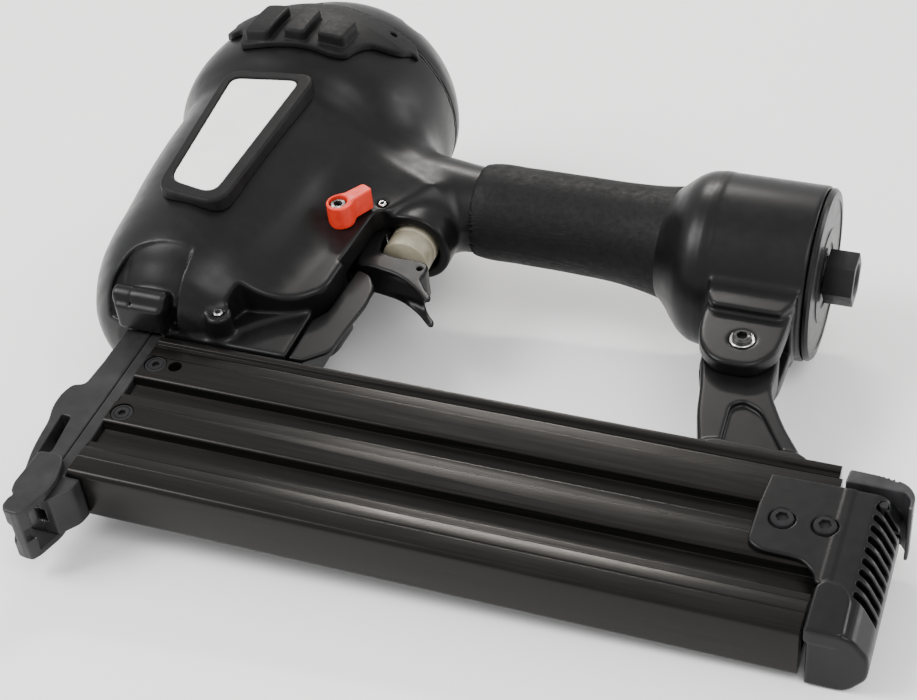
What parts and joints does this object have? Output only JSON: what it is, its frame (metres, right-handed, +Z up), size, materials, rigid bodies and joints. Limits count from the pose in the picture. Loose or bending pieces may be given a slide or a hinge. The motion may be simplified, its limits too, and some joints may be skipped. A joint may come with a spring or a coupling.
{
  "type": "pneumatic floor nailer",
  "caption": "Trigger-operated pneumatic floor nailer with a straight rear magazine, rubber grip, blank label, sliding contact foot and air inlet at the handle's end.",
  "frame": {"origin": "middle of the ground that the tool covers, lying on its right side on the barrel, the head and the tail cover", "axes": "+Z up; +X towards the tail along the magazine and the handle, +Y up the drive axis towards the head (both within a few degrees, because the tool lies tilted)"},
  "size_m": [0.385, 0.3482, 0.134],
  "materials": {
    "casting": "satin black coat with a fine cast texture",
    "handle_grip": "matt textured moulded rubber",
    "guard_rubber": "matt moulded rubber",
    "anodised": "black anodised extrusion, burnished along its ribs",
    "black_steel": "black oxide, worn bright along its edges",
    "bright_steel": "bare machined steel",
    "red_lever": "bright red, satin",
    "cream_plastic": "cream moulded plastic",
    "label_white": "blank white label",
    "seal_rubber": "black rubber",
    "spring_steel": "spring wire",
    "piston_aluminium": "machined aluminium"
  },
  "bodies": {
    "frame": {"body_housing": "casting", "body_pin": "bright_steel", "head_cap": "casting", "cap_gasket": "seal_rubber", "cap_screw_1": "bright_steel", "cap_screw_2": "bright_steel", "cap_screw_3": "bright_steel", "cap_screw_4": "bright_steel", "head_guard": "guard_rubber", "cylinder_sleeve": "piston_aluminium", "head_valve_spring": "spring_steel", "piston_stop": "seal_rubber", "drive_bumper": "seal_rubber", "grip_sleeve": "handle_grip", "end_plate": "casting", "air_fitting": "black_steel", "exhaust_silencer": "seal_rubber", "valve_housing": "cream_plastic", "valve_spring": "spring_steel", "trigger_pin": "bright_steel", "safety_lever_screw": "black_steel", "label_frame": "guard_rubber", "label_plate": "label_white", "nose_front_plate": "black_steel", "nose_rear_plate": "black_steel", "nose_screw_1": "bright_steel", "nose_screw_2": "bright_steel", "nose_screw_3": "bright_steel", "nose_screw_4": "bright_steel", "contact_spring": "spring_steel", "link_guide": "black_steel", "fixed_magazine": "anodised", "bracket_leg": "casting", "bracket_bolt": "bright_steel", "bracket_nut": "bright_steel"},
    "head_valve": {"head_valve": "cream_plastic"},
    "driver": {"piston": "piston_aluminium", "piston_ring": "seal_rubber", "driver_blade": "bright_steel", "blade_pin": "black_steel"},
    "trigger": {"trigger": "casting"},
    "plunger": {"valve_plunger": "bright_steel"},
    "safety_lever": {"safety_lever": "red_lever"},
    "contact": {"contact_foot": "black_steel", "contact_link": "black_steel"},
    "magazine": {"movable_magazine": "anodised", "magazine_liner": "bright_steel", "liner_screw_1": "black_steel", "liner_screw_2": "black_steel", "tail_cover": "casting", "tail_screw_1": "black_steel", "tail_screw_2": "black_steel", "latch_pin": "bright_steel", "pusher_spring": "spring_steel"},
    "latch": {"latch_lever": "black_steel"},
    "pusher": {"pusher": "bright_steel"}
  },
  "joints": [
    {"name": "driver_stroke", "type": "slide", "parent": "frame", "child": "driver", "axis": [0, -0.9892, -0.1462], "range_m": [0, 0.104]},
    {"name": "head_valve_lift", "type": "slide", "parent": "frame", "child": "head_valve", "axis": [0, 0.9892, 0.1462], "range_m": [0, 0.005], "stiffness_N_per_m": 400, "springref_m": -0.003, "deforming": ["head_valve_spring"]},
    {"name": "trigger_pull", "type": "hinge", "parent": "frame", "child": "trigger", "pos_m": [-0.06323, 0.03508, 0.05149], "axis": [0.0425, -0.1461, 0.9884], "range_deg": [0, 8], "stiffness_Nm_per_rad": 0.6, "springref_deg": -8.59},
    {"name": "plunger_lift", "type": "slide", "parent": "frame", "child": "plunger", "axis": [0, 0.9892, 0.1462], "range_m": [0, 0.002], "stiffness_N_per_m": 200, "springref_m": -0.003, "deforming": ["valve_spring"]},
    {"name": "safety_lever_turn", "type": "hinge", "parent": "frame", "child": "safety_lever", "pos_m": [-0.07511, 0.01438, 0.07524], "axis": [-0.0425, 0.1461, -0.9884], "range_deg": [0, 70]},
    {"name": "contact_trip", "type": "slide", "parent": "frame", "child": "contact", "axis": [0, 0.9892, 0.1462], "range_m": [0, 0.008], "stiffness_N_per_m": 300, "springref_m": -0.006, "deforming": ["contact_spring"]},
    {"name": "magazine_slide", "type": "slide", "parent": "frame", "child": "magazine", "axis": [0.9991, 0.0062, -0.042], "range_m": [0, 0.2]},
    {"name": "latch_press", "type": "hinge", "parent": "magazine", "child": "latch", "pos_m": [0.18155, -0.07914, 0.02408], "axis": [0.0425, -0.1461, 0.9884], "range_deg": [0, 8], "stiffness_Nm_per_rad": 0.6, "springref_deg": -8.59},
    {"name": "pusher_slide", "type": "slide", "parent": "magazine", "child": "pusher", "axis": [0.9991, 0.0062, -0.042], "range_m": [0, 0.2], "stiffness_N_per_m": 25, "springref_m": -0.08, "deforming": ["pusher_spring"]}
  ]
}
